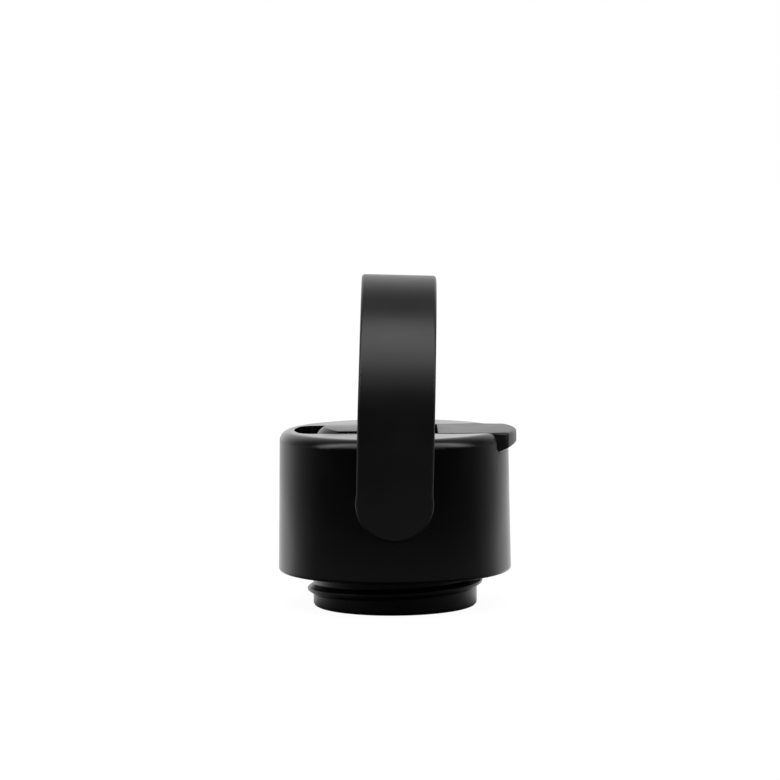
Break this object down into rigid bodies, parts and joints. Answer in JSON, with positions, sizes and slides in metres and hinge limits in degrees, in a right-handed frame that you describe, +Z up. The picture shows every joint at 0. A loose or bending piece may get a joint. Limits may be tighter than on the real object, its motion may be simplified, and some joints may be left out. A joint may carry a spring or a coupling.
{
  "type": "sport cap",
  "caption": "Black screw-in sport cap for a wide-mouth bottle, with a swinging strap handle, a flip-up spout and a flip-open drinking flap.",
  "frame": {"origin": "on the cap's axis, level with the lower edge of the skirt, inside the straw socket", "axes": "+Z up along the cap's axis, +X towards the flap's thumb tab, the handle's pivots on a line along Y"},
  "size_m": [0.0697, 0.0752, 0.0974],
  "materials": {
    "shell_plastic": "satin moulded plastic",
    "liner_plastic": "satin moulded plastic",
    "spout_plastic": "smooth moulded plastic",
    "strap_plastic": "fine matte moulded plastic",
    "silicone": "soft silicone",
    "steel": "turned stainless steel"
  },
  "bodies": {
    "cap": {"outer_shell": "shell_plastic", "threaded_liner": "liner_plastic", "port_duct": "liner_plastic", "neck_gasket": "silicone", "shell_seal": "silicone", "port_ring": "silicone", "spout_seal": "silicone", "vent_valve": "silicone", "flap_hinge_pin": "steel"},
    "handle": {"carry_handle": "strap_plastic", "friction_ring_front": "silicone", "friction_ring_back": "silicone", "handle_washer_front": "steel", "handle_washer_back": "steel", "handle_screw_front": "steel", "handle_screw_back": "steel"},
    "flap": {"drink_flap": "shell_plastic", "flap_seal": "silicone"},
    "spout": {"flip_spout": "spout_plastic"}
  },
  "joints": [
    {"name": "handle_swing", "type": "hinge", "parent": "cap", "child": "handle", "pos_m": [0, 0, 0.0236], "axis": [0, 1, 0], "range_deg": [-91.8, 88.2]},
    {"name": "flap_hinge", "type": "hinge", "parent": "cap", "child": "flap", "pos_m": [0.0149, 0, 0.03905], "axis": [0, -1, 0], "range_deg": [0, 100]},
    {"name": "spout_hinge", "type": "hinge", "parent": "cap", "child": "spout", "pos_m": [0, 0, 0.0351], "axis": [0, 1, 0], "range_deg": [0, 90]}
  ]
}
